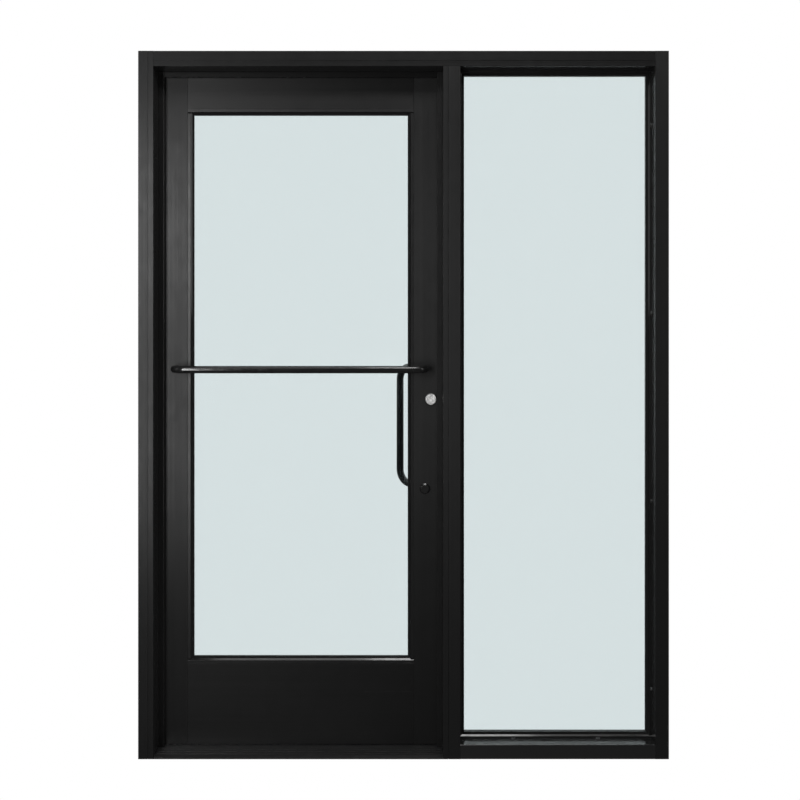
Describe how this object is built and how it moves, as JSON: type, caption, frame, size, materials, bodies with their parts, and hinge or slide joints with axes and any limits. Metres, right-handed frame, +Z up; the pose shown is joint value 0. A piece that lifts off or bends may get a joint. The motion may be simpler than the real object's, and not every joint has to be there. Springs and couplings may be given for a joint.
{
  "type": "glass door with sidelite",
  "caption": "Black aluminium storefront entrance: an outward-swinging glass door with push bar and pull handle, a fixed glazed sidelite and a common frame.",
  "frame": {"origin": "floor level, in the middle of the frame's width and of its 114.3 mm depth", "axes": "+X along the opening from the hinge jamb to the sidelite, +Y from inside the building to outside, +Z up"},
  "size_m": [1.5564, 0.2003, 2.077],
  "materials": {
    "frame_coating": "satin black anodised extrusion with fine die lines",
    "leaf_coating": "satin black anodised extrusion with fine die lines",
    "threshold_coating": "satin black anodised, lightly scuffed",
    "handle_coating": "smooth black, semi-gloss",
    "rubber": "matt black gasket rubber",
    "glass": "clear float glass with a pale grey cast",
    "spacer": "black spacer bar",
    "satin_silver": "satin chrome, turned",
    "lock_steel": "brushed",
    "hinge_coating": "satin black",
    "black_screws": "black oxide",
    "mill_aluminium": "mill finish",
    "plain_steel": "zinc plated"
  },
  "bodies": {
    "frame": {"hinge_jamb": "frame_coating", "mullion": "frame_coating", "sidelite_jamb": "frame_coating", "header": "frame_coating", "sidelite_sill": "frame_coating", "threshold": "threshold_coating", "frame_clips": "mill_aluminium", "frame_screws": "black_screws", "anchor_screws": "black_screws", "hinge_door_stop": "frame_coating", "lock_door_stop": "frame_coating", "header_door_stop": "frame_coating", "weather_seals": "rubber", "sidelite_inner_stops": "frame_coating", "sidelite_outer_stops": "frame_coating", "sidelite_gaskets": "rubber", "sidelite_inner_pane": "glass", "sidelite_outer_pane": "glass", "sidelite_spacer": "spacer", "sidelite_setting_blocks": "rubber", "strike_plate": "lock_steel", "jamb_backer_plates": "plain_steel", "top_hinge_frame_leaf": "hinge_coating", "middle_hinge_frame_leaf": "hinge_coating", "bottom_hinge_frame_leaf": "hinge_coating", "hinge_pins": "hinge_coating"},
    "door": {"hinge_stile": "leaf_coating", "lock_stile": "leaf_coating", "top_rail": "leaf_coating", "bottom_rail": "leaf_coating", "leaf_clips": "mill_aluminium", "leaf_screws": "black_screws", "door_bead_left": "leaf_coating", "door_bead_right": "leaf_coating", "door_bead_top": "leaf_coating", "door_bead_bottom": "leaf_coating", "door_outer_beads": "leaf_coating", "door_gaskets": "rubber", "door_inner_pane": "glass", "door_outer_pane": "glass", "door_spacer": "spacer", "door_setting_blocks": "rubber", "door_sweep": "rubber", "stile_backer_plates": "plain_steel", "top_hinge_door_leaf": "hinge_coating", "middle_hinge_door_leaf": "hinge_coating", "bottom_hinge_door_leaf": "hinge_coating", "push_bar": "handle_coating", "pull_handle": "handle_coating", "handle_bolts": "black_screws", "bolt_covers": "handle_coating", "lock_case": "lock_steel", "lock_faceplate": "lock_steel", "cylinder_collars": "satin_silver", "inner_cylinder": "satin_silver", "outer_cylinder": "satin_silver"},
    "bolt": {"deadbolt": "lock_steel"},
    "inner_key": {"inner_key_plug": "satin_silver"},
    "outer_key": {"outer_key_plug": "satin_silver"}
  },
  "joints": [
    {"name": "door_swing", "type": "hinge", "parent": "frame", "child": "door", "pos_m": [-0.73275, 0.06415, 0], "axis": [0, 0, 1], "range_deg": [0, 110]},
    {"name": "inner_key_turn", "type": "hinge", "parent": "door", "child": "inner_key", "pos_m": [0.08225, 0.0127, 1.0462], "axis": [0, 1, 0], "range_deg": [0, 120]},
    {"name": "outer_key_turn", "type": "hinge", "parent": "door", "child": "outer_key", "pos_m": [0.08225, 0.05715, 1.0462], "axis": [0, 1, 0], "range_deg": [0, 120]},
    {"name": "bolt_swing", "type": "hinge", "parent": "door", "child": "bolt", "pos_m": [0.09525, 0.03492, 1.094], "axis": [0, 1, 0], "range_deg": [0, 90]}
  ],
  "couplings": [
    {"joint": "bolt_swing", "follows": "inner_key_turn", "ratio": 0.75}
  ]
}
